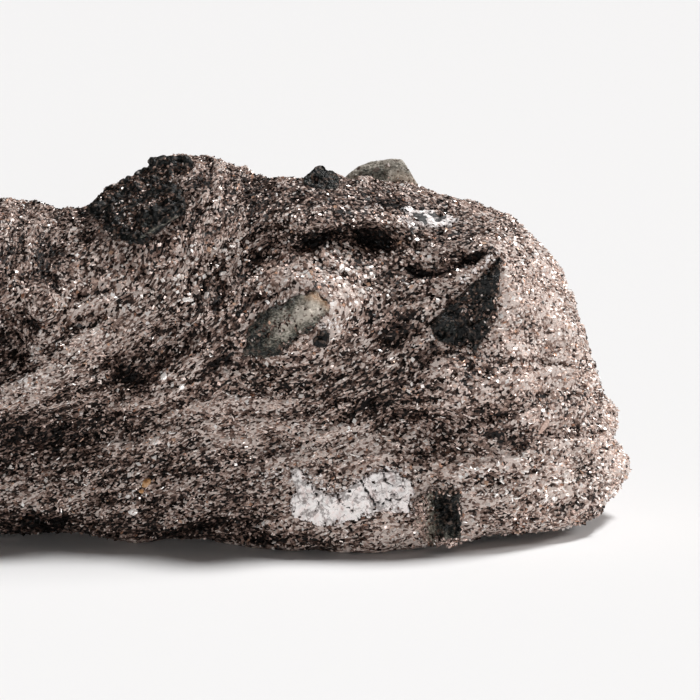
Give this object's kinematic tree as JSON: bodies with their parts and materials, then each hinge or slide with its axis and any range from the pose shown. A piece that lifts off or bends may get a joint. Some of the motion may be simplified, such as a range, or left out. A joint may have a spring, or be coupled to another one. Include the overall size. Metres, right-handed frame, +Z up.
{
  "type": "alexandrite_in_mica_schist",
  "caption": "Rough block of sparkling mica schist with dark green-black alexandrite crystals grown in it, lying on its small flat underside",
  "frame": {"origin": "Middle of the base of the whole specimen, on the surface that it lies on", "axes": "+X along the block's long direction, to the right when the crystals face the viewer, -Y is the side that shows the crystals, +Z is up"},
  "size_m": [0.174, 0.0988, 0.0766],
  "materials": {
    "mica_schist": "satin",
    "alexandrite": "gloss",
    "feldspar": "satin"
  },
  "bodies": {
    "root": {"mica_schist": "mica_schist", "alexandrite_wedge": "alexandrite", "alexandrite_ridge": "alexandrite", "alexandrite_knob": "alexandrite", "alexandrite_rear": "alexandrite", "alexandrite_chip": "alexandrite", "alexandrite_foot": "alexandrite", "alexandrite_back_tablet": "alexandrite", "alexandrite_back_prism": "alexandrite", "alexandrite_end_prism": "alexandrite", "alexandrite_worn": "alexandrite", "feldspar_patch": "feldspar", "feldspar_fleck": "feldspar"}
  },
  "joints": []
}
